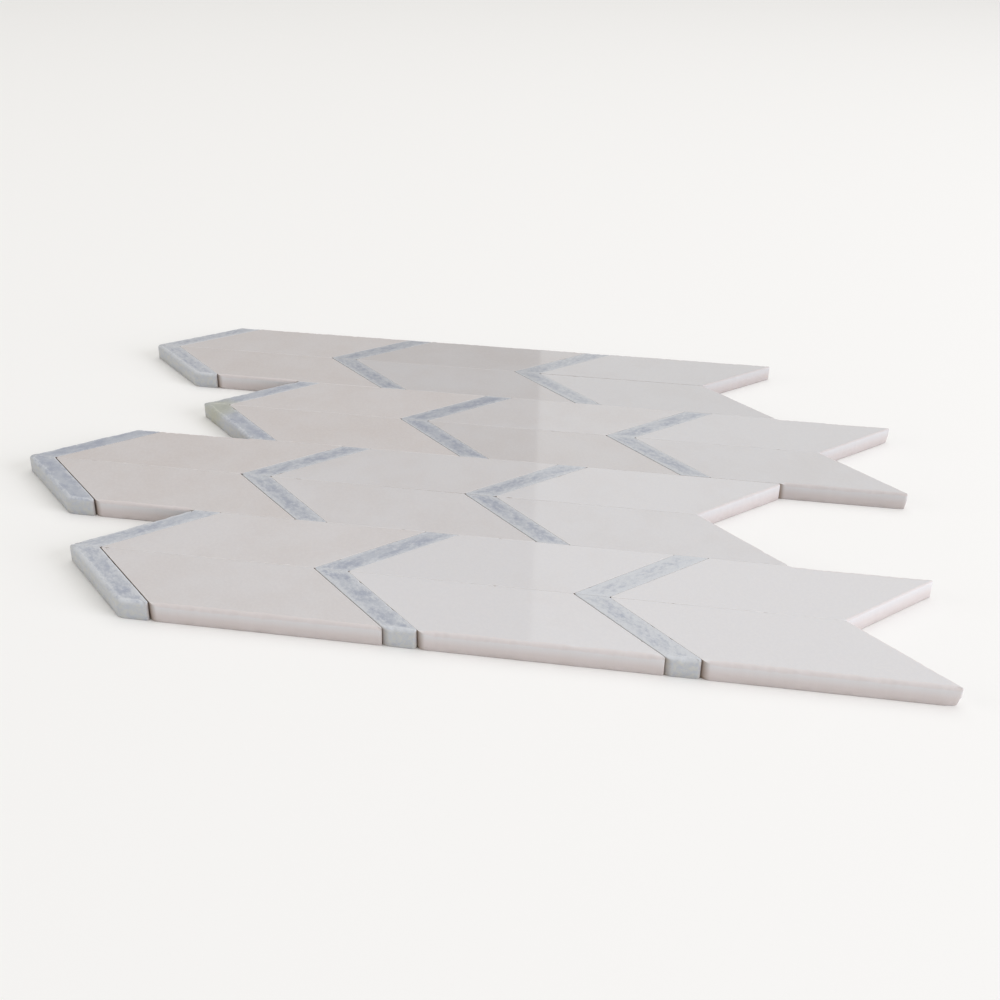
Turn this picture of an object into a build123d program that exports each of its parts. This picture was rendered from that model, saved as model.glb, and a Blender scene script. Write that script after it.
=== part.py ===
"""Chevron mosaic sheet of polished marble, mounted on a glass-fibre net.

Lengths are millimetres. The sheet lies flat with its stones up: X runs along
the rows, with the chevrons pointing to -X, Y runs across the rows from front
to back, and Z is up. The origin is the middle of the sheet, on the ground.
"""

from build123d import *

import math
import os

# The pattern
ROW_COUNT = 4
CHEVRONS_PER_ROW = 3
ROW_DEPTH = 76.2
REPEAT_LENGTH = 105.0
ARM_ANGLE = 45.0
STAGGER = 57.6

# The stones
STRIP_WIDTH = 10.0
JOINT_WIDTH = 0.4
STONE_THICKNESS = 7.5
ARRIS_WIDTH = 0.5

# Upright acute corners, as sawn and tumbled: on a row's centre line, and at its edges
STRIP_CENTRE_RADIUS = 0.6
WHITE_CENTRE_RADIUS = 1.0
STRIP_END_RADIUS = 1.5
WHITE_END_RADIUS = 0.7

# Free points that are worn rounder, both stones as one, by the row whose first
# chevron they are
POINT_RADIUS = {1: 2.0, 3: 2.0}

# The net
NET_THICKNESS = 0.5
NET_SETBACK = 2.0

# Worked out from the sizes above
ARM_RISE = ROW_DEPTH / 2
ARM_RUN = ARM_RISE / math.tan(math.radians(ARM_ANGLE))
STRIP_LENGTH = STRIP_WIDTH / math.sin(math.radians(ARM_ANGLE))
ROW_LENGTH = CHEVRONS_PER_ROW * REPEAT_LENGTH
SHEET_LENGTH = ROW_LENGTH + ARM_RUN + STAGGER
SHEET_DEPTH = ROW_COUNT * ROW_DEPTH

# The arms of a chevron, and which way across the row each one goes
SIDES = {"back": 1, "front": -1}


def row_start(row):
    """X of the point of a row's first chevron. Every second row is set back."""
    shift = STAGGER if row % 2 == 0 else 0.0
    return shift - SHEET_LENGTH / 2


def row_centre(row):
    """Y of a row's centre line. Row 1 is at the back."""
    return SHEET_DEPTH / 2 - (row - 0.5) * ROW_DEPTH


def arm_corners(row, start, length, side):
    """Corners of one arm of a chevron, up to the middle of its joints.

    The arm starts on the row's centre line, is `length` long along the row,
    and slants back to the row's edge at the back (side 1) or front (side -1).
    """
    centre = row_centre(row)
    edge = centre + side * ARM_RISE
    return [
        (start, centre),
        (start + length, centre),
        (start + length + ARM_RUN, edge),
        (start + ARM_RUN, edge),
    ]


def point_outline(row):
    """A wedge over the point of a row's first chevron, rounded as that is worn."""
    start, centre = row_start(row), row_centre(row)
    reach, spread = 2 * ARM_RUN, 2 * ARM_RISE
    wedge = Polyline(
        (start, centre),
        (start + reach, centre + spread),
        (start + reach, centre - spread),
        close=True,
    )
    face = offset(make_face(wedge), -JOINT_WIDTH / 2, kind=Kind.INTERSECTION)
    tip = face.vertices().sort_by(Axis.X)[0]
    return fillet(tip, POINT_RADIUS[row])


def stone(corners, centre_radius, edge_radius, worn_outline=None):
    """A polished stone on the net: an arm less its joints, with eased edges.

    The radii round its two acute corners, on the row's centre line and at the
    row's edge. Where a worn outline is given, it cuts the first one instead.
    """
    face = offset(make_face(Polyline(*corners, close=True)), -JOINT_WIDTH / 2, kind=Kind.INTERSECTION)
    face = fillet(vertex_near(face, corners[2]), edge_radius)
    if worn_outline:
        face = face & worn_outline
    else:
        face = fillet(vertex_near(face, corners[0]), centre_radius)
    body = extrude(Pos(0, 0, NET_THICKNESS) * face, STONE_THICKNESS, dir=(0, 0, 1))
    polished_face = body.faces().sort_by(Axis.Z)[-1]
    return chamfer(polished_face.edges(), ARRIS_WIDTH)


def vertex_near(face, corner):
    """The vertex of a face that is nearest to a corner of its outline."""
    return face.vertices().sort_by_distance(Vector(*corner))[0]


def strip(row, number, side_name):
    """A blue-grey stone, one arm of a narrow chevron."""
    start = row_start(row) + (number - 1) * REPEAT_LENGTH
    corners = arm_corners(row, start, STRIP_LENGTH, SIDES[side_name])
    worn_outline = point_outline(row) if number == 1 and row in POINT_RADIUS else None
    return stone(corners, STRIP_CENTRE_RADIUS, STRIP_END_RADIUS, worn_outline)


def white(row, number, side_name):
    """A white stone, one arm of a broad chevron."""
    start = row_start(row) + (number - 1) * REPEAT_LENGTH + STRIP_LENGTH
    corners = arm_corners(row, start, REPEAT_LENGTH - STRIP_LENGTH, SIDES[side_name])
    return stone(corners, WHITE_CENTRE_RADIUS, WHITE_END_RADIUS)


def mosaic_stones():
    """All stones of the sheet, by the names of their nodes."""
    stones = {}
    for row in range(1, ROW_COUNT + 1):
        for number in range(1, CHEVRONS_PER_ROW + 1):
            for side_name in SIDES:
                stones[f"row{row}_strip{number}_{side_name}"] = strip(row, number, side_name)
                stones[f"row{row}_white{number}_{side_name}"] = white(row, number, side_name)
    return stones


def net():
    """The glass-fibre net under the stones, cut just inside their outline."""
    left_end = []
    right_end = []
    for row in range(1, ROW_COUNT + 1):
        start = row_start(row)
        end = start + ROW_LENGTH
        centre = row_centre(row)
        back, front = centre + ARM_RISE, centre - ARM_RISE
        left_end += [(start + ARM_RUN, back), (start, centre), (start + ARM_RUN, front)]
        right_end += [(end + ARM_RUN, back), (end, centre), (end + ARM_RUN, front)]
    outline = Polyline(*left_end, *reversed(right_end), close=True)
    face = offset(make_face(outline), -NET_SETBACK, kind=Kind.ARC)
    return extrude(face, NET_THICKNESS, dir=(0, 0, 1))


def main():
    os.makedirs("parts", exist_ok=True)
    pieces = mosaic_stones()
    pieces["mesh_backing"] = net()
    for name, piece in pieces.items():
        export_step(piece, f"parts/{name}.step")


main()
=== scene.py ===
import math
import random

import bpy
import numpy as np
from bpy.props import FloatProperty, FloatVectorProperty, IntProperty, PointerProperty
from mathutils import Matrix, Vector, noise


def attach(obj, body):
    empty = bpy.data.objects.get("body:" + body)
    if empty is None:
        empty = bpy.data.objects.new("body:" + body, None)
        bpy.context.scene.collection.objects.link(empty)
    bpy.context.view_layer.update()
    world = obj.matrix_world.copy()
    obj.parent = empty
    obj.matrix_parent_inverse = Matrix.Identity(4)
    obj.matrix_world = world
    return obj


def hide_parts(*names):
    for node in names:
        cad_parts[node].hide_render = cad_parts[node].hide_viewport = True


bl_info = {
    "name": "Chevron marble mosaic sheet",
    "version": (1, 0, 0),
    "blender": (4, 5, 0),
    "location": "3D View > Sidebar > Mosaic",
    "description": "Dresses a mesh-mounted sheet of marble chevrons, stone by stone",
    "category": "Add Mesh",
}

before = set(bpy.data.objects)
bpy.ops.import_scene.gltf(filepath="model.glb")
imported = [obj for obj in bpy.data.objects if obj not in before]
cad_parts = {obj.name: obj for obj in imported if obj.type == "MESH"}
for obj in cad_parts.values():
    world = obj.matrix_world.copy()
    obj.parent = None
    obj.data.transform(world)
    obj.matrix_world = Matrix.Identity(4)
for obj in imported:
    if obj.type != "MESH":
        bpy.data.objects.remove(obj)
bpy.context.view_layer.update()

MM = 0.001
ARMS = {"back": 1, "front": -1}


def linear(hex_code):
    """An sRGB colour such as D8D5D3 as the linear RGBA that shaders take."""
    channels = [int(hex_code[i:i + 2], 16) / 255 for i in (0, 2, 4)]
    return [c / 12.92 if c <= 0.04045 else ((c + 0.055) / 1.055) ** 2.4 for c in channels] + [1.0]


def length_property(name, description, default_mm):
    """A size in the scene's own unit, given here in millimetres."""
    return FloatProperty(name=name, description=description, default=default_mm * MM,
                         unit="LENGTH", precision=5)


def colour_property(name, description, hex_code):
    """A colour that a user can change, given here as an sRGB hex value."""
    return FloatVectorProperty(name=name, description=description, default=linear(hex_code),
                               size=4, subtype="COLOR", min=0.0, max=1.0)


def power_property(name, place, watts):
    """The power of one of the soft lights."""
    return FloatProperty(name=name, description=f"Power of the soft light {place}, in watts",
                         default=watts)


def angle_property(name, description, degrees):
    """An angle, given here in degrees."""
    return FloatProperty(name=name, description=description, default=math.radians(degrees),
                         subtype="ANGLE")


# Settings

class PatternSettings(bpy.types.PropertyGroup):
    """The chevron pattern, as the sheet is set."""

    rows: IntProperty(name="Rows", description="Rows of chevrons across the sheet", default=4)
    chevrons: IntProperty(name="Chevrons", description="Chevrons of each colour in a row", default=3)
    row_depth: length_property("Row depth", "Width of one row, across the sheet", 76.2)
    repeat: length_property("Repeat", "Length of one narrow and one broad chevron", 105.0)
    stagger: length_property("Stagger", "How far every second row is set back", 57.6)
    strip_width: length_property("Strip width", "Width of a narrow stone, joints included", 10.0)
    tight_joint: length_property("Tight joint", "Gap between stones that touch here and there", 0.02)
    open_joint: length_property("Open joint", "Gap where a stone was set less closely", 0.2)
    outline: length_property("Outline", "Half a full joint, left all round the sheet", 0.21)


class StoneSettings(bpy.types.PropertyGroup):
    """How the stones are cut and worn."""

    bed: length_property("Bed height", "Height of the backs of the stones above the floor", 0.12)
    top: length_property("Face height", "Height of the polished faces above the floor", 8.0)
    joint_arris: length_property("Joint arris", "Rounding of the top edges of tight joints", 0.15)
    free_arris: length_property("Free arris", "Rounding of the sheet's outer top edges", 1.5)
    notch_arris: length_property("Notch arris", "Rounding of the top edges at the right end", 0.7)
    strip_arris: length_property("Strip arris", "Rounding of the narrow stones' top edges", 0.6)
    worn_arris: length_property("Worn arris", "Rounding of the narrow stones' free top edges", 1.8)
    lippage: length_property("Lippage", "Most that one face lies below its neighbours", 0.12)
    wander: length_property("Wander", "Most that a free edge wanders from a straight line", 0.15)
    chip: length_property("Chip depth", "Deepest of the small chips along top edges", 0.6)
    spacing: length_property("Edge step", "Distance between two points along an edge", 0.8)


class MarbleSettings(bpy.types.PropertyGroup):
    """Colours of the two marbles."""

    white: colour_property("White marble", "Polished face of the broad stones", "D9D7D8")
    white_warm: colour_property("White marble, warm", "The warmest of the broad stones", "CFC8C5")
    # Besides pale flecks, this colour makes the rounded top edges along joints lighter
    white_rim: colour_property("White rim", "Bruised edge of the white marble", "EBE8E6")
    # Low on the sides, fading to the face's colour near the top, partly as painted shade; it also
    # darkens the worn free arris as painted shade
    white_sawn: colour_property("White sawn", "Sawn sides of the white marble", "D3CAC8")
    blue: colour_property("Blue marble", "Body of the blue-grey marble", "B7BBC3")
    blue_core: colour_property("Blue core", "Darker crystals in the blue-grey marble", "A5AAB7")
    blue_pale: colour_property("Blue pale", "Pale crystals in the blue-grey marble", "D0D2D5")
    blue_sawn: colour_property("Blue sawn", "Sawn sides of the blue-grey marble", "C9C8C2")
    # Also the colour toward which painted shade darkens the stones' sides in the joints
    glue: colour_property("Old glue", "Brown glue low in the gaps", "7E654E")
    stain: colour_property("Olive stain", "Stain beside the point of the second row", "AFAE86")


class NetSettings(bpy.types.PropertyGroup):
    """The glass-fibre net that holds the stones."""

    setback: length_property("Set-back", "From the edge of the stones to the edge of the net", 3.0)
    opening: length_property("Opening", "Spacing of the strands", 5.0)
    strand: length_property("Strand", "Width of one strand", 0.9)
    thickness: length_property("Thickness", "Thickness of one strand", 0.24)
    colour: colour_property("Net", "Coated glass fibre", "E4E1D8")


class StudioSettings(bpy.types.PropertyGroup):
    """Floor, light and camera."""

    floor: colour_property("Floor", "Pale floor and surroundings", "F7F6F4")
    ambient: FloatProperty(name="Ambient", description="Strength of the light all round", default=0.56)
    overhead: power_property("Overhead", "above", 65.0)
    fill: power_property("Fill", "at the left", 15.0)
    side: power_property("Side", "at the right", 78.0)
    azimuth: angle_property("Azimuth", "Which side the camera looks from", 8.549)
    elevation: angle_property("Elevation", "Camera's height above the horizon", 27.371)
    roll: angle_property("Roll", "Tilt of the picture", 1.164)
    distance: length_property("Distance", "From the camera to what it looks at", 575.91)
    target_x: length_property("Target X", "What the camera looks at, along the rows", 19.23)
    target_y: length_property("Target Y", "What the camera looks at, across the rows", -26.13)
    lens: FloatProperty(name="Lens", description="Focal length on a 36 mm sensor", default=45.0,
                        unit="CAMERA")


# Where the stones lie

def arm_rise(pattern):
    return pattern.row_depth / 2


def strip_length(pattern):
    """Length of a narrow stone along the row. Its arm runs at 45 degrees."""
    return pattern.strip_width * math.sqrt(2)


def row_start(pattern, row):
    """X of the point of a row's first chevron."""
    length = pattern.chevrons * pattern.repeat + arm_rise(pattern) + pattern.stagger
    return (pattern.stagger if row % 2 == 0 else 0.0) - length / 2


def row_centre(pattern, row):
    """Y of a row's centre line. Row 1 is at the back."""
    return (pattern.rows / 2 - row + 0.5) * pattern.row_depth


def arm_corners(pattern, row, start, length, arm):
    """Corners of one arm: tip and inner corner on the centre line, then the row's edge."""
    centre = row_centre(pattern, row)
    rise = arm_rise(pattern)
    edge = centre + ARMS[arm] * rise
    return [Vector((start, centre)), Vector((start + length, centre)),
            Vector((start + length + rise, edge)), Vector((start + rise, edge))]


def covered_part(pattern, row, arm):
    """Between which two X the next row touches this one, where this arm ends."""
    beyond = row + 1 if arm == "front" else row - 1
    if not 1 <= beyond <= pattern.rows:
        return math.inf, -math.inf
    start = row_start(pattern, beyond) + arm_rise(pattern)
    return start, start + pattern.chevrons * pattern.repeat


# Stones

CORNER_STEPS = 6
ARRIS_STEPS = 5
INSET_STEP = 0.3 * MM
INSET_STEPS = 10
RIM = INSET_STEP * INSET_STEPS

# Share of an inset by which its points are kept from falling together
KEPT_APART = 0.003

# Length over which a stone's end goes from bare to covered
COVER_FADE = 1.5 * MM

# Sizes of the long and of the fine bumps along an arris
DRIFT_SIZES = (9 * MM, 2 * MM)

CHIP_HALF_LENGTHS = (0.6 * MM, 1.8 * MM)

# A broken foot: its reach from the tip, and its height as a share of the stone's
BREAK_REACH = 7 * MM
BREAK_HEIGHT = 0.55

# The back's edge: width of its flat rim, and its small easing
BACK_RIM = 0.5 * MM
BACK_EASING = 0.1 * MM

# Width of the strips that keep the arris's shading off the side and the face
SHOULDER = 0.25 * MM

# Length that the full lippage tilts, and how much glue the backs carry
TILT_LENGTH = 160 * MM
BACK_GLUE = 0.3


def directions(corners, i):
    """Directions in which an outline arrives at a corner and leaves it."""
    arrive = (corners[i] - corners[i - 1]).normalized()
    leave = (corners[(i + 1) % len(corners)] - corners[i]).normalized()
    return arrive, leave


def crossing(first, along_first, second, along_second):
    """Where two lines cross, each given by a point and a direction."""
    turn = along_first.cross(along_second)
    return first + along_first * ((second - first).cross(along_second) / turn)


def set_in(corners, gaps):
    """An outline whose every edge is moved in by its own distance.

    The corners run counter-clockwise, and each gap belongs to the edge that
    leaves the corner of the same place.
    """
    ways = [directions(corners, i)[1] for i in range(len(corners))]
    lines = [corner + Vector((-way.y, way.x)) * gap for corner, way, gap in zip(corners, ways, gaps)]
    return [crossing(lines[i - 1], ways[i - 1], lines[i], ways[i]) for i in range(len(corners))]


def corner_arcs(corners, radii):
    """The rounded corners of an outline, each as points along its arc."""
    arcs = []
    for i, corner in enumerate(corners):
        arrive, leave = directions(corners, i)
        bisector = (leave - arrive).normalized()
        half = math.acos(max(-1.0, min(1.0, -arrive.dot(leave)))) / 2
        centre = corner + bisector * (radii[i] / math.sin(half))
        sweep = math.pi / 2 - half
        turn = [sweep * (2 * k / CORNER_STEPS - 1) for k in range(CORNER_STEPS + 1)]
        arcs.append([centre - Matrix.Rotation(t, 2) @ bisector * radii[i] for t in turn])
    return arcs


def with_edges(arcs, edge_steps):
    """Points all round an outline, its straight edges cut into steps."""
    points = []
    for i, arc in enumerate(arcs):
        points += arc
        first, last = arc[-1], arcs[(i + 1) % len(arcs)][0]
        points += [first.lerp(last, k / edge_steps[i]) for k in range(1, edge_steps[i])]
    return np.array(points)


def cut_off(polygon, point, inward):
    """The part of a convex polygon that lies inside a line."""
    depth = (polygon - point) @ inward
    after = np.roll(depth, -1)
    crosses = (depth < 0) != (after < 0)
    share = np.where(crosses, depth / np.where(crosses, depth - after, 1.0), 0.0)
    met = polygon + (np.roll(polygon, -1, axis=0) - polygon) * share[:, None]
    return np.stack([polygon, met], axis=1)[np.stack([depth >= 0, crosses], axis=1)]


def shrunk(outline, inset):
    """What is left of a convex outline when all of its edge is moved in."""
    step = np.roll(outline, -1, axis=0) - outline
    inward = np.column_stack([-step[:, 1], step[:, 0]])
    inward /= np.linalg.norm(inward, axis=1)[:, None]
    polygon = outline
    for point, way in zip(outline, inward):
        polygon = cut_off(polygon, point + way * inset, way)
    return polygon


def nearest_on(polygon, points):
    """For each point, the nearest one on a polygon."""
    step = np.roll(polygon, -1, axis=0) - polygon
    length = np.maximum((step ** 2).sum(axis=1), 1e-18)
    share = ((points[:, None] - polygon) * step).sum(axis=2) / length
    near = polygon + step * np.clip(share, 0, 1)[..., None]
    best = np.linalg.norm(near - points[:, None], axis=2).argmin(axis=1)
    return near[np.arange(len(points)), best]


def inset_layers(arcs, outer):
    """The outline at each inset, point by point."""
    coarse = np.array([point for arc in arcs for point in arc])
    layers = [outer]
    for k in range(1, INSET_STEPS + 1):
        near = nearest_on(shrunk(coarse, k * INSET_STEP), outer)
        layers.append(near + (outer - near) * KEPT_APART)
    return np.array(layers)


def edge_weights(edge_steps):
    """For each outline point, how much it belongs to each edge, shared at corners."""
    every = np.eye(len(edge_steps))
    rows = []
    for i, steps in enumerate(edge_steps):
        for k in range(CORNER_STEPS + 1):
            share = k / CORNER_STEPS
            rows.append(every[i - 1] * (1 - share) + every[i] * share)
        rows += [every[i]] * (steps - 1)
    return np.array(rows)


def chips_along(walk, total, deepest, per_metre, rng):
    """Extra rounding of the top edge where small chips are out of it."""
    extra = np.zeros(len(walk))
    for _ in range(round(total * per_metre)):
        place = rng.uniform(0, total)
        half_length = rng.uniform(*CHIP_HALF_LENGTHS)
        depth = deepest * rng.uniform(0.25, 1.0) ** 2
        away = np.abs((walk - place + total / 2) % total - total / 2) / half_length
        extra = np.maximum(extra, depth * np.clip(1 - away ** 2, 0, 1))
    return extra


def cover(points, covered):
    """How much each point is where the next row is laid against a stone, by its X."""
    low, high = covered
    x = points[:, 0]
    return (np.clip((x - low) / COVER_FADE + 0.5, 0, 1)
            * np.clip((high - x) / COVER_FADE + 0.5, 0, 1))


def stone_faces(count, rings):
    """Quads between rings of points, and a fan over the first ring and the last."""
    under, last = rings * count, (rings - 1) * count
    faces = []
    for i in range(count):
        after = (i + 1) % count
        faces.append((under, after, i))
        faces += [(a + i, a + after, a + count + after, a + count + i) for a in range(0, last, count)]
        faces.append((last + i, last + after, under + 1))
    return faces


def add_values(mesh, name, values):
    """Gives each point of a mesh a value or a vector, for the materials to read."""
    kind, field = ("FLOAT_VECTOR", "vector") if values.ndim == 2 else ("FLOAT", "value")
    attribute = mesh.attributes.new(name, kind, "POINT")
    attribute.data.foreach_set(field, values.ravel())


def stone_mesh(name, corners, radii, edges, covered, stone, chips_per_metre, tone, shade,
               broken=0.0):
    """One stone: sawn sides, a worn and slightly chipped top edge, flat face and back.

    Corners start at the stone's tip on the row's centre line. `edges` has, for
    each edge that leaves the same place, the half joint, the arris and whether
    it is free (1) or in a joint (0). The third is the stone's end at the row's
    edge, and between the two X in `covered` the next row is laid against it.
    `broken` is how far the foot of the tip at the row's edge is broken away.
    """
    rng = random.Random(name)
    origin, row_tip, end = corners[0], np.array(corners[2]), 2
    along = (corners[2] - corners[1]).normalized()
    if (corners[1] - origin).cross(corners[-1] - origin) < 0:
        corners, radii, end = corners[::-1], radii[::-1], len(corners) - 4
        edges = edges[-2::-1] + edges[-1:]
    gaps, arrises, loose = zip(*edges)
    corners = set_in(corners, gaps)
    edge_steps = [max(2, round((after - corner).length / stone.spacing))
                  for corner, after in zip(corners, corners[1:] + corners[:1])]
    arcs = corner_arcs(corners, radii)
    outer = with_edges(arcs, edge_steps)
    layers = inset_layers(arcs, outer)
    step = np.linalg.norm(np.roll(outer, -1, axis=0) - outer, axis=1)
    walk = np.concatenate([[0.0], np.cumsum(step)[:-1]])
    shift = rng.uniform(0, 100)
    drift, fine = (np.array([noise.noise(Vector((x / size, y / size, shift))) for x, y in outer])
                   for size in DRIFT_SIZES)
    weights = edge_weights(edge_steps)
    hidden = weights[:, end] * cover(outer, covered)
    arris = weights @ np.array(arrises) + hidden * (stone.joint_arris - arrises[end])
    free = weights @ np.array(loose) - hidden * loose[end]
    wander = stone.wander * free * np.clip(0.5 + 0.6 * drift + 0.3 * fine, 0, 1)
    arris = arris * (1 + 0.3 * drift + 0.3 * fine)
    arris = arris + chips_along(walk, step.sum(), stone.chip, chips_per_metre, rng)
    arris = np.clip(arris, 0.05 * MM, RIM - stone.wander - 0.5 * MM)
    foot = broken * np.clip(1 - np.linalg.norm(outer - row_tip, axis=1) / BREAK_REACH, 0, 1)
    low = stone.lippage * rng.uniform(0.1, 0.6)
    slope = np.array([rng.uniform(-1, 1), rng.uniform(-1, 1)]) * stone.lippage / TILT_LENGTH
    middle = outer.mean(axis=0)
    highest = ((outer - middle) @ slope).max()

    def worn_height(place):
        """How high the stone may be near the worn top edges of its free sides."""
        height = np.full(len(place), stone.top)
        for i, size in enumerate(arrises):
            if loose[i]:
                way = directions(corners, i)[1]
                inside = (place - np.array(corners[i])) @ np.array((-way.y, way.x))
                size = 0.9 * size
                worn = size - np.sqrt(size ** 2 - np.clip(size - inside, 0, size) ** 2)
                worn = worn * (1 - (i == end) * cover(place, covered))
                height = np.minimum(height, stone.top - worn)
        return height

    def ring(depth, height):
        """The outline's points, each at its depth inside the outline and at its height."""
        layer = np.clip(depth / INSET_STEP, 0, INSET_STEPS - 1e-6)
        below, part, order = layer.astype(int), layer % 1, np.arange(len(outer))
        place = layers[below, order] * (1 - part[:, None]) + layers[below + 1, order] * part[:, None]
        height = np.minimum(height, worn_height(place))
        lift = (height - stone.bed) / (stone.top - stone.bed)
        z = height - lift * (low + highest - (place - middle) @ slope)
        return np.column_stack([place, z])

    # From the back over the face: depth, height, wear, and whether near the edge
    broken_top = stone.bed + BREAK_HEIGHT * (stone.top - stone.bed)
    rings = [(wander + foot + BACK_EASING + BACK_RIM, stone.bed, 0, 1),
             (wander + foot + BACK_EASING, stone.bed, 0, 1),
             (wander + foot, stone.bed + BACK_EASING, 0, 1),
             (wander, broken_top, 0, 1),
             (wander, stone.top - arris - SHOULDER, 0, 1)]
    for k in range(ARRIS_STEPS + 1):
        angle = math.pi / 2 * k / ARRIS_STEPS
        depth = wander + arris * (1 - math.cos(angle))
        worn = max(0.0, math.sin(2 * angle)) ** 0.5 if k < ARRIS_STEPS else 0.8
        rings.append((depth, stone.top - arris * (1 - math.sin(angle)), worn, 1))
    rings.append((wander + arris + SHOULDER, stone.top, 0, 1))
    rings.append((np.full(len(outer), RIM), stone.top, 0, 0))
    placed = [ring(depth, height) for depth, height, _, _ in rings]
    caps = [placed[i].mean(axis=0)[None] for i in (0, -1)]
    points = np.concatenate(placed + caps)
    mesh = bpy.data.meshes.new(name)
    mesh.from_pydata(points.tolist(), [], stone_faces(len(outer), len(rings)))
    mesh.shade_smooth()
    across = Vector((-along.y, along.x))
    flat = points[:, :2] - np.array(origin)
    offset = np.array([rng.uniform(-3, 3) for _ in range(3)])
    cut = np.column_stack([flat @ np.array(along), flat @ np.array(across), points[:, 2]]) + offset
    add_values(mesh, "cut", cut)
    for key, values in zip(("wear", "rim"), np.array([row[2:] for row in rings], dtype=float).T):
        every = np.append(np.repeat(values, len(outer)), [values[0], values[-1]])
        add_values(mesh, key, every)
    add_values(mesh, "tone", np.full(len(points), tone))
    # Painted shade: how far the stone's colour is darkened, more toward the back
    add_values(mesh, "shade", np.full(len(points), shade))
    back = np.full(2 * len(outer), BACK_GLUE)
    joint = np.concatenate([back, np.tile(1 - free, len(rings) - 2), [BACK_GLUE, 0.0]])
    add_values(mesh, "joint", joint)
    return mesh


def blunted(corners, cut):
    """An outline whose first corner is cut off square to the row's centre line."""
    tip, edge_start = corners[0], corners[-1]
    side = (edge_start - tip) / abs(edge_start.x - tip.x)
    return [tip + Vector((cut, 0.0)), *corners[1:], tip + side * cut]


def add_object(name, data):
    """Puts a new object in the scene."""
    thing = bpy.data.objects.new(name, data)
    bpy.context.scene.collection.objects.link(thing)
    return thing


def add_piece(name, mesh, material, slot, *nodes):
    """Puts a finished piece in the scene in place of the nodes that it stands for."""
    piece = add_object(name, mesh)
    mesh.materials.clear()
    mesh.materials.append(material)
    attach(piece, "root")
    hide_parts(*nodes)
    return piece


# Materials

OUTPUT = "ShaderNodeOutputMaterial"
MATH = "ShaderNodeMath"
NOISE = "ShaderNodeTexNoise"
RANGE = "ShaderNodeMapRange"
MIX = "ShaderNodeMix"
SMOOTH = {"interpolation_type": "SMOOTHSTEP"}
CLAMPED = {"use_clamp": True}
TIMES = {"operation": "MULTIPLY"}
COLOUR = {"data_type": "RGBA"}

# Inputs of a Map Range node, and of a Mix node that mixes colours
VALUE, LOW, HIGH, TO_LOW, TO_HIGH = range(5)
FACTOR, UNDER, OVER = 0, 6, 7

# The olive stain: its place, its outer and inner reach, and how far its edge wanders
STAIN_PLACE = (-0.1375, 0.0335, 0.008)
STAIN_REACH = 23 * MM
STAIN_CORE = 9 * MM
STAIN_WANDER = 12 * MM


def add_node(tree, kind, inputs=None, **settings):
    """Adds a node with its settings.

    Each input takes a value, the socket that feeds it, or a node, whose first
    output in use feeds it.
    """
    node = tree.nodes.new(kind)
    for key, value in settings.items():
        setattr(node, key, value)
    for socket, value in (inputs or {}).items():
        if isinstance(value, bpy.types.Node):
            value = next(output for output in value.outputs if output.enabled)
        if isinstance(value, bpy.types.NodeSocket):
            tree.links.new(value, node.inputs[socket])
        else:
            node.inputs[socket].default_value = value
    return node


def new_material(name):
    """An empty material, and the tree that its nodes go into."""
    material = bpy.data.materials.new(name)
    material.use_nodes = True
    material.node_tree.nodes.clear()
    return material, material.node_tree


def stone_masks(tree):
    """What every stone's material starts from: its own coordinates, wear, tone, painted shade and
    sides.
    """
    masks = {name: add_node(tree, "ShaderNodeAttribute", attribute_name=name).outputs["Fac"]
             for name in ("wear", "rim", "tone", "shade", "joint")}
    masks["cut"] = add_node(tree, "ShaderNodeAttribute", attribute_name="cut").outputs["Vector"]
    place = add_node(tree, "ShaderNodeTexCoord")
    masks["place"] = place.outputs["Object"]
    facing, height = (add_node(tree, "ShaderNodeSeparateXYZ", {0: place.outputs[name]}).outputs["Z"]
                      for name in ("Normal", "Object"))
    # The upper mask grows toward the top of the sides; the white marble's sides follow it, from dirt
    # and painted shade low down to painted light near the top
    for name, value, low, high in (("side", facing, 0.9, 0.2),
                                   ("low", height, 2.6 * MM, 0.6 * MM),
                                   ("upper", height, 2.5 * MM, 7.0 * MM)):
        masks[name] = add_node(tree, RANGE, {VALUE: value, LOW: low, HIGH: high}, **SMOOTH)
    return masks


def glue_and_joint_shade(tree, m, size):
    """Where old glue shows, on the sides low down and in the joints, and where painted shade in the
    glue's brown darkens the sides in the joints.
    """
    clouds = add_node(tree, NOISE, {"Vector": m["place"], "Scale": 1 / size, "Detail": 3.0,
                                    "Roughness": 0.55})
    patch = add_node(tree, RANGE, {VALUE: clouds, LOW: 0.35, HIGH: 0.7, TO_HIGH: 0.12}, **SMOOTH)
    part = add_node(tree, MATH, {0: m["joint"], 1: 0.8, 2: patch}, operation="MULTIPLY_ADD",
                    **CLAMPED)
    marks = add_node(tree, MATH, {0: m["low"], 1: part}, **TIMES)
    # Painted shade: the sides in the joints are darkened toward the glue's brown
    painted_joint_shade = add_node(tree, MATH, {0: m["joint"], 1: m["side"]}, **TIMES)
    painted_joint_shade = add_node(tree, MATH, {0: painted_joint_shade, 1: 0.75}, **TIMES)
    return add_node(tree, MATH, {0: marks, 1: painted_joint_shade}, operation="MAXIMUM")


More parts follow.
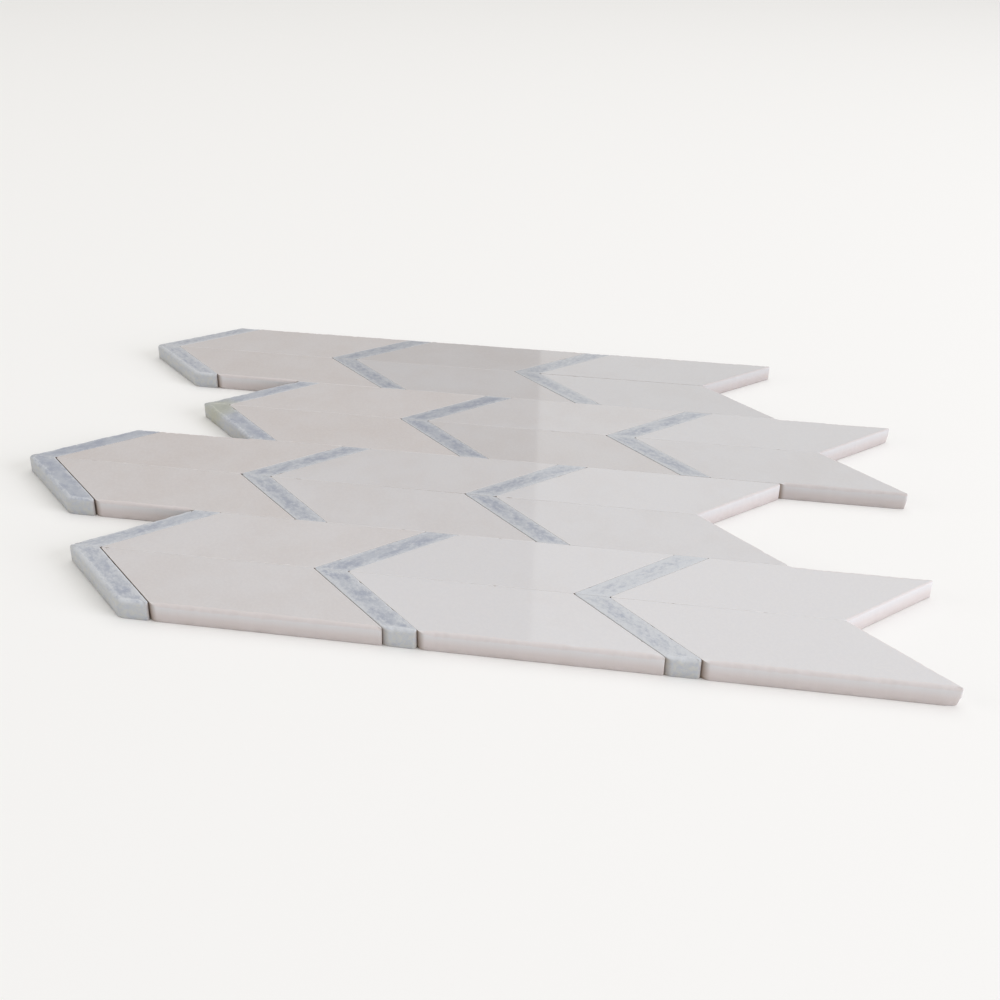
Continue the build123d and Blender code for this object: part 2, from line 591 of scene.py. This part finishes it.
def white_marble(marble):
    """White marble, polished. Even fine crystals: faint warm and cool clouds, a clear reflection."""
    material, tree = new_material("white_marble_polished")
    m = stone_masks(tree)
    clouds, grain = (
        add_node(tree, NOISE, {"Vector": m["cut"], "Scale": 1 / (size * MM), "Detail": detail,
                               "Roughness": roughness})
        for size, detail, roughness in ((24, 4.0, 0.55), (1.3, 2.0, 0.7)))
    clouding, fleck = (
        add_node(tree, RANGE, {VALUE: value, LOW: low, HIGH: 0.7, TO_LOW: least, TO_HIGH: most},
                 **SMOOTH)
        for value, low, least, most in ((clouds, 0.3, -0.15, 0.15), (grain, 0.35, 0.0, 0.12)))
    warmth = add_node(tree, MATH, {0: m["tone"], 1: clouding}, operation="ADD", **CLAMPED)
    # Sides in sawn colour low down and in the face's colour near the top: dirt and painted shade low
    # down, painted light near the top
    sawn = add_node(tree, MIX, {FACTOR: m["upper"], UNDER: marble.white_sawn,
                                OVER: marble.white}, **COLOUR)
    # Along joints the rounded top edge is made lighter
    jointed = add_node(tree, MATH, {0: m["wear"], 1: m["joint"]}, **TIMES)
    loose = add_node(tree, MATH, {0: m["wear"], 1: jointed}, operation="SUBTRACT")
    # On the free edges the worn arris is mixed toward the sawn colour: painted shade that dims the
    # rounding
    lighter_joint_arris, worn = (add_node(tree, MATH, {0: wear, 1: share}, **TIMES)
                     for wear, share in ((jointed, 0.4), (loose, 0.8)))
    colour = marble.white
    # The last mark is old glue low down, with painted shade on the sides in the joints
    for share, over in ((warmth, marble.white_warm), (fleck, marble.white_rim), (m["side"], sawn),
                        (lighter_joint_arris, marble.white_rim), (worn, marble.white_sawn),
                        (glue_and_joint_shade(tree, m, 7 * MM), marble.glue)):
        colour = add_node(tree, MIX, {FACTOR: share, UNDER: colour, OVER: over}, **COLOUR)
    finish_stone(tree, m, colour, grain, polish=0.05)
    return material


def blue_marble(marble):
    """Blue-grey marble, polished and tumbled. Crystals show, paler and frosted at the edges."""
    material, tree = new_material("blue_grey_marble_polished")
    m = stone_masks(tree)
    stretched = add_node(tree, "ShaderNodeMapping", {0: m["cut"], "Scale": (0.6, 1.0, 1.0)})
    crystals, patches, grain, ragged = (
        add_node(tree, NOISE, {"Vector": place, "Scale": 1 / (size * MM), "Detail": detail,
                               "Roughness": roughness})
        for place, size, detail, roughness in (
            (stretched, 1.7, 4.0, 0.7), (stretched, 5.5, 2.0, 0.55), (m["cut"], 0.8, 2.0, 0.7),
            (m["place"], 5, 3.0, 0.55)))
    edge = crystals
    for mask in (m["rim"], m["tone"]):
        edge = add_node(tree, MATH, {0: mask, 1: 0.2, 2: edge}, operation="MULTIPLY_ADD")
    far = add_node(tree, "ShaderNodeVectorMath", {0: m["place"], 1: STAIN_PLACE},
                   operation="DISTANCE")
    reach = add_node(tree, MATH, {0: ragged, 1: STAIN_WANDER, 2: far}, operation="MULTIPLY_ADD")
    core, pale, dark_fleck, pale_fleck, mottle, stain = (
        add_node(tree, RANGE, {VALUE: value, LOW: low, HIGH: high, TO_HIGH: most}, **SMOOTH)
        for value, low, high, most in (
            (patches, 0.38, 0.62, 1.0), (edge, 0.4, 0.8, 0.9), (grain, 0.5, 0.28, 0.3),
            (grain, 0.55, 0.75, 0.4), (crystals, 0.35, 0.65, 1.0),
            (reach, STAIN_REACH, STAIN_CORE, 0.45)))
    sawn = add_node(tree, MIX, {FACTOR: mottle, UNDER: marble.blue_sawn, OVER: marble.blue},
                    **COLOUR)
    sawn_part = add_node(tree, MATH, {0: m["side"], 1: 0.8}, **TIMES)
    colour = marble.blue
    # The last mark is old glue low down, with painted shade on the sides in the joints
    for share, over in ((core, marble.blue_core), (pale, marble.blue_pale),
                        (dark_fleck, marble.blue_core), (pale_fleck, marble.blue_pale),
                        (sawn_part, sawn), (stain, marble.stain),
                        (glue_and_joint_shade(tree, m, 6 * MM), marble.glue)):
        colour = add_node(tree, MIX, {FACTOR: share, UNDER: colour, OVER: over}, **COLOUR)
    finish_stone(tree, m, colour, grain, polish=0.12)
    return material


def finish_stone(tree, m, colour, grain, polish):
    """Painted shade, sheen, slight translucency and the relief of sides and worn edges, for both
    marbles.
    """
    # Darken the colour by the painted shade
    colour_in_painted_shade = add_node(tree, MIX, {FACTOR: m["shade"], UNDER: colour, OVER: (0.0, 0.0, 0.0, 1.0)},
                      **COLOUR)
    matt = add_node(tree, MATH, {0: m["wear"], 1: m["side"]}, operation="MAXIMUM")
    roughness = add_node(tree, RANGE, {VALUE: matt, HIGH: 0.8, TO_LOW: polish, TO_HIGH: 0.6},
                         **SMOOTH)
    relief = add_node(tree, MATH, {0: matt, 1: 0.8}, **TIMES)
    bump = add_node(tree, "ShaderNodeBump", {"Height": grain, "Strength": relief,
                                             "Distance": 0.06 * MM})
    shader = add_node(tree, "ShaderNodeBsdfPrincipled",
                      {"Base Color": colour_in_painted_shade, "Roughness": roughness, "Normal": bump, "IOR": 1.52,
                       "Subsurface Weight": 0.15, "Subsurface Scale": 2.5 * MM,
                       "Subsurface Radius": (1.0, 0.9, 0.8)})
    add_node(tree, OUTPUT, {0: shader})


def glass_fibre(net):
    """Coated glass fibre, woven. Dull off-white strands with a slight sheen along them."""
    material, tree = new_material("glass_fibre_coated")
    place = add_node(tree, "ShaderNodeTexCoord").outputs["Object"]
    fibres, patches = (
        add_node(tree, NOISE, {"Vector": place, "Scale": 1 / (size * MM), "Detail": 2.0,
                               "Roughness": roughness})
        for size, roughness in ((0.25, 0.6), (14, 0.55)))
    streak, yellowed = (
        add_node(tree, RANGE, {VALUE: value, LOW: low, HIGH: high, TO_HIGH: most}, **SMOOTH)
        for value, low, high, most in ((fibres, 0.35, 0.7, 0.6), (patches, 0.5, 0.75, 0.5)))
    colour = net.colour
    for share, tint in ((streak, (0.72, 0.72, 0.72)), (yellowed, (0.8, 0.7, 0.55))):
        over = (*[c * k for c, k in zip(net.colour, tint)], 1.0)
        colour = add_node(tree, MIX, {FACTOR: share, UNDER: colour, OVER: over}, **COLOUR)
    bump = add_node(tree, "ShaderNodeBump", {"Height": fibres, "Strength": 0.8,
                                             "Distance": 0.05 * MM})
    shader = add_node(tree, "ShaderNodeBsdfPrincipled",
                      {"Base Color": colour, "Normal": bump, "IOR": 1.5, "Roughness": 0.45})
    add_node(tree, OUTPUT, {0: shader})
    return material


# Operators

# Painted shade, darkening the stones toward the back: that of the front row, its rise toward the back
# row, and its chance part, which is the stones' own tone
PAINTED_SHADE_LEAST = 0.02
PAINTED_SHADE_RISE = 0.155
PAINTED_SHADE_RISE_LEFT = 0.3 * PAINTED_SHADE_RISE
PAINTED_SHADE_CHANCE = 0.012


def set_openly(row, number, arm):
    """True for the narrow stones that were set with a gap on their inner side."""
    return arm == "front" and number == 1 and row > 2


def painted_shade_of(pattern, row, number, rng):
    """How much painted shade darkens a stone's colour. It grows toward the back, standing in for the
    weaker light there; a small chance part is the stones' own tone.
    """
    step = (pattern.rows - row) / (pattern.rows - 1)
    rise = PAINTED_SHADE_RISE_LEFT if number == 1 else PAINTED_SHADE_RISE
    return PAINTED_SHADE_LEAST + rise * step + rng.uniform(-PAINTED_SHADE_CHANCE, PAINTED_SHADE_CHANCE)


class StoneLayer:
    """What both stone operators share: one stone for each arm of each chevron."""

    def execute(self, context):
        settings = context.scene.mosaic
        pattern, material = settings.pattern, self.marble(settings.marble)
        for row in range(1, pattern.rows + 1):
            for number in range(1, pattern.chevrons + 1):
                for arm in ARMS:
                    mesh = self.make(pattern, settings.stone, row, number, arm)
                    add_piece(mesh.name, mesh, material, self.slot,
                              f"row{row}_{self.node}{number}_{arm}")
        return {"FINISHED"}


class MOSAIC_OT_lay_white_stones(StoneLayer, bpy.types.Operator):
    """Makes the broad white stones, two for each chevron."""

    bl_idname = "mosaic.lay_white_stones"
    bl_label = "Lay white stones"

    marble, slot, node = staticmethod(white_marble), "white_marble", "white"
    broken_tips = {(2, "back"): 0.9 * MM, (2, "front"): 0.7 * MM, (4, "front"): 1.3 * MM}

    # Corner radii: at the tip, at the inner corner, and at the left edge, covered or bare
    tip_radius, inner_radius, covered_radius, bare_radius = 0.4 * MM, 0.3 * MM, 0.2 * MM, 4.0 * MM

    # Tip radii at the row's edge: in a joint, and at the right end, bare or covered
    edge_radius, bare_end_radius, covered_end_radius = 0.3 * MM, 0.7 * MM, 0.85 * MM

    def make(self, pattern, stone, row, number, arm):
        start = row_start(pattern, row) + (number - 1) * pattern.repeat + strip_length(pattern)
        length = pattern.repeat - strip_length(pattern)
        corners = arm_corners(pattern, row, start, length, arm)
        tight, gaping = pattern.tight_joint / 2, pattern.open_joint / 2
        last, covered = number == pattern.chevrons, covered_part(pattern, row, arm)
        outermost = covered[0] > covered[1]
        inner = (tight, stone.joint_arris, 0)
        joint = (tight if arm == "back" else gaping, stone.joint_arris, 0)
        right = (pattern.outline, stone.notch_arris, 1) if last else joint
        edge = (pattern.outline if outermost else tight, stone.free_arris, 1)
        left = (gaping if set_openly(row, number, arm) else tight, stone.joint_arris, 0)
        tip = self.edge_radius
        if last:
            tip = self.bare_end_radius if outermost else self.covered_end_radius
        bare = corners[3].x < covered[0]
        radii = [self.tip_radius, self.inner_radius, tip,
                 self.bare_radius if bare else self.covered_radius]
        rng = random.Random(f"white tone {row} {number} {arm}")
        tone = 0.4 * (pattern.chevrons - number) + rng.uniform(-0.1, 0.1) - 0.4 * (row == 4)
        broken = self.broken_tips.get((row, arm), 0.0) if last else 0.0
        return stone_mesh(f"white_stone_{row}_{number}_{arm}", corners, radii,
                          [inner, right, edge, left], covered, stone, 10, tone,
                          painted_shade_of(pattern, row, number, rng), broken)


class MOSAIC_OT_lay_blue_strips(StoneLayer, bpy.types.Operator):
    """Makes the narrow blue-grey stones, two for each chevron."""

    bl_idname = "mosaic.lay_blue_strips"
    bl_label = "Lay blue strips"

    marble, slot, node = staticmethod(blue_marble), "blue_grey_marble", "strip"

    # How far the points at the left are cut off blunt, and the radii there
    blunt_tips = {(4, "back"): 1.6 * MM, (4, "front"): 0.5 * MM,
                  **{(row, arm): 0.98 * MM for row in (1, 3) for arm in ARMS}}
    blunt_radii = {1: 2.0 * MM, 3: 2.0 * MM, 4: 0.4 * MM}
    mitre_radius = 0.02 * MM

    # Radii of the other corners: inside, and at the row's edge, bare or covered
    inner_radius, bare_radii, covered_radii = 0.3 * MM, (1.1 * MM, 5.0 * MM), (0.35 * MM, 0.3 * MM)

    # How much paler some chevrons are, by row and number
    paler = {(4, 1): 0.3, (4, 3): 0.6, (3, 2): 0.3, (1, 1): 0.5, (3, 1): -0.3, (2, 2): -0.2}

    def make(self, pattern, stone, row, number, arm):
        start = row_start(pattern, row) + (number - 1) * pattern.repeat
        corners = arm_corners(pattern, row, start, strip_length(pattern), arm)
        tight, gaping = pattern.tight_joint / 2, pattern.open_joint / 2
        first, covered = number == 1, covered_part(pattern, row, arm)
        closed, opened = (tight, stone.joint_arris, 0), (gaping, stone.strip_arris, 0)
        inner = opened if set_openly(row, number, arm) else closed
        edge = (tight if covered[0] < covered[1] else pattern.outline, stone.worn_arris, 1)
        outer = opened if arm == "front" else closed
        if first:
            outer = (pattern.outline, stone.worn_arris, 1)
        edges = [closed, inner, edge, outer]
        bare = corners[3].x < covered[0]
        radii = [self.inner_radius, self.inner_radius,
                 *(self.bare_radii if bare else self.covered_radii)]
        if first and (row, arm) in self.blunt_tips:
            corners = blunted(corners, self.blunt_tips[row, arm])
            radii = [self.mitre_radius, *radii[1:], self.blunt_radii[row]]
            edges = [*edges, outer]
        rng = random.Random(f"blue tone {row} {number} {arm}")
        tone = 0.25 * (number - 2) + self.paler.get((row, number), 0.0) + rng.uniform(-0.2, 0.2)
        return stone_mesh(f"blue_strip_{row}_{number}_{arm}", corners, radii, edges, covered,
                          stone, 30, tone, painted_shade_of(pattern, row, number, rng))


# How far the net's lanes reach before they are cut to the outline
NET_REACH = 0.45


def net_outline(pattern, setback):
    """The net's plan: the sheet's zigzag outline, set back from the stones' edge."""
    slanted = setback * math.sqrt(2)
    rise = arm_rise(pattern)
    left, right = [], []
    for row in range(1, pattern.rows + 1):
        centre = row_centre(pattern, row)
        start = row_start(pattern, row) + slanted
        end = row_start(pattern, row) + pattern.chevrons * pattern.repeat - slanted
        for points, x, stands_out in ((left, start, row % 2 == 1), (right, end, row % 2 == 0)):
            back = centre + rise - (setback if row == 1 or stands_out else -setback)
            front = centre - rise + (setback if row == pattern.rows or stands_out else -setback)
            points += [(x + back - centre, back), (x, centre), (x + centre - front, front)]
    return left + right[::-1]


def net_tree(material):
    """Strands both ways over whatever plan the tree is given, woven over and under."""
    tree = bpy.data.node_groups.new("woven_net", "GeometryNodeTree")
    face = tree.interface
    face.new_socket("Geometry", in_out="INPUT", socket_type="NodeSocketGeometry")
    for name in ("Opening", "Strand width", "Thickness", "Reach"):
        face.new_socket(name, in_out="INPUT", socket_type="NodeSocketFloat")
    face.new_socket("Geometry", in_out="OUTPUT", socket_type="NodeSocketGeometry")
    given = add_node(tree, "NodeGroupInput")
    plan, opening, width, thickness, reach = given.outputs[:5]
    half_width, half_opening = (add_node(tree, MATH, {0: whole, 1: 0.5}, **TIMES)
                                for whole in (width, opening))
    ratio = add_node(tree, MATH, {0: reach, 1: opening}, operation="DIVIDE")
    lanes = add_node(tree, MATH, {0: ratio}, operation="ROUND")
    steps = add_node(tree, MATH, {0: lanes, 1: 2.0}, **TIMES)
    span = add_node(tree, MATH, {0: lanes, 1: opening}, **TIMES)
    start = add_node(tree, MATH, {0: span, 1: -0.5}, **TIMES)
    joined = add_node(tree, "GeometryNodeJoinGeometry")
    for turned in (False, True):
        strand, lane = (
            add_node(tree, "GeometryNodeMeshLine",
                     {"Count": count,
                      "Start Location": add_node(tree, "ShaderNodeCombineXYZ", {axis: start}),
                      "Offset": add_node(tree, "ShaderNodeCombineXYZ", {axis: stride})},
                     mode="OFFSET")
            for axis, count, stride in ((0, steps, half_opening), (1, lanes, opening)))
        laid = add_node(tree, "GeometryNodeInstanceOnPoints", {"Points": lane, "Instance": strand})
        real = add_node(tree, "GeometryNodeRealizeInstances", {0: laid})
        if turned:
            real = add_node(tree, "GeometryNodeTransform",
                            {0: real, "Rotation": (0.0, 0.0, math.pi / 2)})
        position = add_node(tree, "GeometryNodeInputPosition")
        split = add_node(tree, "ShaderNodeSeparateXYZ", {0: position})
        both = add_node(tree, MATH, {0: split.outputs[0], 1: split.outputs[1]}, operation="ADD")
        waves = add_node(tree, MATH, {0: both, 1: opening}, operation="DIVIDE")
        phase = add_node(tree, MATH, {0: waves, 1: math.pi}, **TIMES)
        weave = add_node(tree, MATH, {0: phase}, operation="COSINE")
        swing = add_node(tree, MATH, {0: thickness, 1: -0.5 if turned else 0.5}, **TIMES)
        lift = add_node(tree, MATH, {0: weave, 1: swing}, **TIMES)
        up = add_node(tree, "ShaderNodeCombineXYZ", {2: lift})
        woven = add_node(tree, "GeometryNodeSetPosition", {"Geometry": real, "Offset": up})
        high = add_node(tree, "ShaderNodeVectorMath", {0: position, 1: (0.0, 0.0, 0.01)},
                        operation="ADD")
        seen = add_node(tree, "GeometryNodeRaycast",
                        {"Target Geometry": plan, "Source Position": high,
                         "Ray Direction": (0.0, 0.0, -1.0)})
        off = add_node(tree, "FunctionNodeBooleanMath", {0: seen}, operation="NOT")
        cut = add_node(tree, "GeometryNodeDeleteGeometry", {"Geometry": woven, "Selection": off},
                       domain="POINT")
        line = add_node(tree, "GeometryNodeMeshToCurve", {0: cut})
        line = add_node(tree, "GeometryNodeSetCurveNormal", {0: line}, mode="Z_UP")
        profile = add_node(tree, "GeometryNodeCurvePrimitiveQuadrilateral",
                           {"Width": thickness, "Bottom Height": half_width,
                            "Top Height": half_width}, mode="KITE")
        swept = add_node(tree, "GeometryNodeCurveToMesh",
                         {"Curve": line, "Profile Curve": profile, "Fill Caps": True})
        tree.links.new(swept.outputs[0], joined.inputs[0])
    painted = add_node(tree, "GeometryNodeSetMaterial", {0: joined, "Material": material})
    add_node(tree, "NodeGroupOutput", {0: painted})
    return tree


class MOSAIC_OT_weave_net(bpy.types.Operator):
    """Weaves the glass-fibre net under the stones."""

    bl_idname = "mosaic.weave_net"
    bl_label = "Weave net"

    def execute(self, context):
        settings = context.scene.mosaic
        net = settings.net
        outline = net_outline(settings.pattern, net.setback)
        plan = bpy.data.meshes.new("net_plan")
        plan.from_pydata([(x, y, 0.0) for x, y in outline], [], [list(range(len(outline)))])
        holder = add_object("net_plan", plan)
        material = glass_fibre(net)
        tree = net_tree(material)
        modifier = holder.modifiers.new("weave", "NODES")
        modifier.node_group = tree
        given = [item for item in tree.interface.items_tree if item.in_out == "INPUT"][1:]
        for item, size in zip(given, (net.opening, net.strand, net.thickness, NET_REACH)):
            modifier[item.identifier] = size
        graph = context.evaluated_depsgraph_get()
        mesh = bpy.data.meshes.new_from_object(holder.evaluated_get(graph))
        bpy.data.objects.remove(holder)
        if not mesh.polygons:
            raise RuntimeError("the net came out empty")
        lowest = min(vertex.co.z for vertex in mesh.vertices)
        mesh.transform(Matrix.Translation((0.0, 0.0, -lowest)))
        mesh.name = "glass_fibre_net"
        mesh.shade_smooth()
        add_piece("glass_fibre_net", mesh, material, "glass_fibre_net", "mesh_backing")
        return {"FINISHED"}


FLOOR_HALF = 6.0

# The soft lights, aimed at the sheet: width, place and colour
LIGHTS = {"overhead": (5.2, (0.2, 1.2, 3.6), (1.0, 0.995, 0.99)),
          "fill": (2.0, (-3.2, -0.7, 1.1), (1.0, 0.99, 0.96)),
          "side": (2.0, (3.2, -0.9, 1.05), (0.93, 0.95, 1.02))}

# The flag behind the sheet: how far from the camera, its size, its light, and its edge's angle
# from the middle of the picture, 40 pixels at a focal length of 1250
FLAG_AWAY = 2.2
FLAG_WIDTH = 2.4
FLAG_BOTTOM, FLAG_TOP = 0.25, 2.2
FLAG_GLOW = (0.46, 0.44, 0.43, 1.0)
FLAG_ANGLE = math.atan(40 / 1250)


def camera_axes(studio):
    """The camera's right, up and back directions."""
    a, e = studio.azimuth, studio.elevation
    back = Vector((math.sin(a) * math.cos(e), -math.cos(a) * math.cos(e), math.sin(e)))
    level = Vector((math.cos(a), math.sin(a), 0.0))
    upright = back.cross(level)
    right = level * math.cos(studio.roll) + upright * math.sin(studio.roll)
    return right, back.cross(right), back


def camera_place(studio, back):
    """Where the camera stands."""
    return Vector((studio.target_x, studio.target_y, 0.0)) + back * studio.distance


def add_panel(name, corners, material):
    """A flat panel of the stage, with four corners."""
    mesh = bpy.data.meshes.new(name)
    mesh.from_pydata(corners, [], [(0, 1, 2, 3)])
    mesh.materials.append(material)
    return add_object(name, mesh)


class MOSAIC_OT_set_stage(bpy.types.Operator):
    """Sets up the pale floor, the soft lights and the camera."""

    bl_idname = "mosaic.set_stage"
    bl_label = "Set stage"

    def execute(self, context):
        scene = context.scene
        studio = scene.mosaic.studio
        self.add_floor(studio)
        self.add_world(scene, studio)
        self.add_lights(studio)
        self.add_flag(studio)
        self.add_camera(scene, studio)
        scene.view_settings.view_transform = "Standard"
        return {"FINISHED"}

    def add_floor(self, studio):
        """Pale paper, matt, on which the sheet lies."""
        material, tree = new_material("pale_paper")
        shader = add_node(tree, "ShaderNodeBsdfPrincipled", {
            "Base Color": studio.floor, "Roughness": 0.9, "Specular IOR Level": 0.0})
        add_node(tree, OUTPUT, {0: shader})
        corners = [(x * FLOOR_HALF, y * FLOOR_HALF, 0)
                   for x, y in ((-1, -1), (1, -1), (1, 1), (-1, 1))]
        floor = add_panel("floor", corners, material)

    def add_world(self, scene, studio):
        """The camera, mirrors and glass see pale surroundings; the rest get the ambient light."""
        world = bpy.data.worlds.new("studio")
        scene.world = world
        world.use_nodes = True
        tree = world.node_tree
        tree.nodes.clear()
        rays = add_node(tree, "ShaderNodeLightPath")
        seen = rays.outputs["Is Camera Ray"]
        for kind in ("Is Glossy Ray", "Is Transmission Ray"):
            seen = add_node(tree, MATH, {0: seen, 1: rays.outputs[kind]}, operation="MAXIMUM")
        strength = add_node(tree, RANGE, {VALUE: seen, TO_LOW: studio.ambient, TO_HIGH: 1.0})
        light = add_node(tree, "ShaderNodeBackground",
                         {"Color": studio.floor, "Strength": strength})
        add_node(tree, "ShaderNodeOutputWorld", {0: light})

    def add_lights(self, studio):
        """Square soft lights. Their power is in the settings, under the same names."""
        for name, (size, place, colour) in LIGHTS.items():
            light = bpy.data.lights.new(name, "AREA")
            light.shape = "SQUARE"
            light.size = size
            light.energy = getattr(studio, name)
            light.color = colour
            lamp = add_object(name, light)
            lamp.location = place
            lamp.rotation_euler = Vector(place).to_track_quat("Z", "Y").to_euler()

    def add_flag(self, studio):
        """A dark flag behind the sheet. Its edge shows in the polish as an upright line."""
        back = camera_axes(studio)[2]
        forward = Vector((-back.x, -back.y, 0.0)).normalized()
        side = Vector((-forward.y, forward.x, 0.0))
        way = forward * math.cos(FLAG_ANGLE) - side * math.sin(FLAG_ANGLE)
        near = (camera_place(studio, back) + way * FLAG_AWAY).xy
        far = near + side.xy * FLAG_WIDTH
        material, tree = new_material("dark_cloth")
        shader = add_node(tree, "ShaderNodeEmission", {"Color": FLAG_GLOW})
        add_node(tree, OUTPUT, {0: shader})
        corners = [(*near, FLAG_BOTTOM), (*far, FLAG_BOTTOM), (*far, FLAG_TOP), (*near, FLAG_TOP)]
        flag = add_panel("flag", corners, material)
        flag.visible_camera = flag.visible_diffuse = flag.visible_shadow = False

    def add_camera(self, scene, studio):
        """The photograph's point of view."""
        right, up, back = camera_axes(studio)
        data = bpy.data.cameras.new("camera")
        data.lens = studio.lens
        data.sensor_width = 36.0
        data.clip_start, data.clip_end = 0.01, 50.0
        camera = add_object("camera", data)
        turned = Matrix((right, up, back)).transposed().to_4x4()
        camera.matrix_world = Matrix.Translation(camera_place(studio, back)) @ turned
        scene.camera = camera


class MosaicSettings(bpy.types.PropertyGroup):
    """All the settings of the sheet."""

    pattern: PointerProperty(type=PatternSettings)
    stone: PointerProperty(type=StoneSettings)
    marble: PointerProperty(type=MarbleSettings)
    net: PointerProperty(type=NetSettings)
    studio: PointerProperty(type=StudioSettings)


OPERATORS = (MOSAIC_OT_lay_white_stones, MOSAIC_OT_lay_blue_strips, MOSAIC_OT_weave_net,
             MOSAIC_OT_set_stage)


class MOSAIC_PT_sheet(bpy.types.Panel):
    """Lists the steps that dress the sheet, with their settings."""

    bl_idname = "MOSAIC_PT_sheet"
    bl_label = "Marble mosaic"
    bl_space_type = "VIEW_3D"
    bl_region_type = "UI"
    bl_category = "Mosaic"

    def draw(self, context):
        layout = self.layout
        for operator in OPERATORS:
            layout.operator(operator.bl_idname)
        settings = context.scene.mosaic
        for field in settings.__annotations__:
            group, box = getattr(settings, field), layout.box()
            for name in group.__annotations__:
                box.prop(group, name)


CLASSES = (PatternSettings, StoneSettings, MarbleSettings, NetSettings, StudioSettings,
           MosaicSettings, *OPERATORS, MOSAIC_PT_sheet)


def register():
    for cls in CLASSES:
        bpy.utils.register_class(cls)
    bpy.types.Scene.mosaic = PointerProperty(type=MosaicSettings)


def unregister():
    del bpy.types.Scene.mosaic
    for cls in reversed(CLASSES):
        bpy.utils.unregister_class(cls)


def main():
    register()
    bpy.ops.mosaic.lay_white_stones()
    bpy.ops.mosaic.lay_blue_strips()
    bpy.ops.mosaic.weave_net()
    bpy.ops.mosaic.set_stage()


if __name__ == "__main__":
    main()
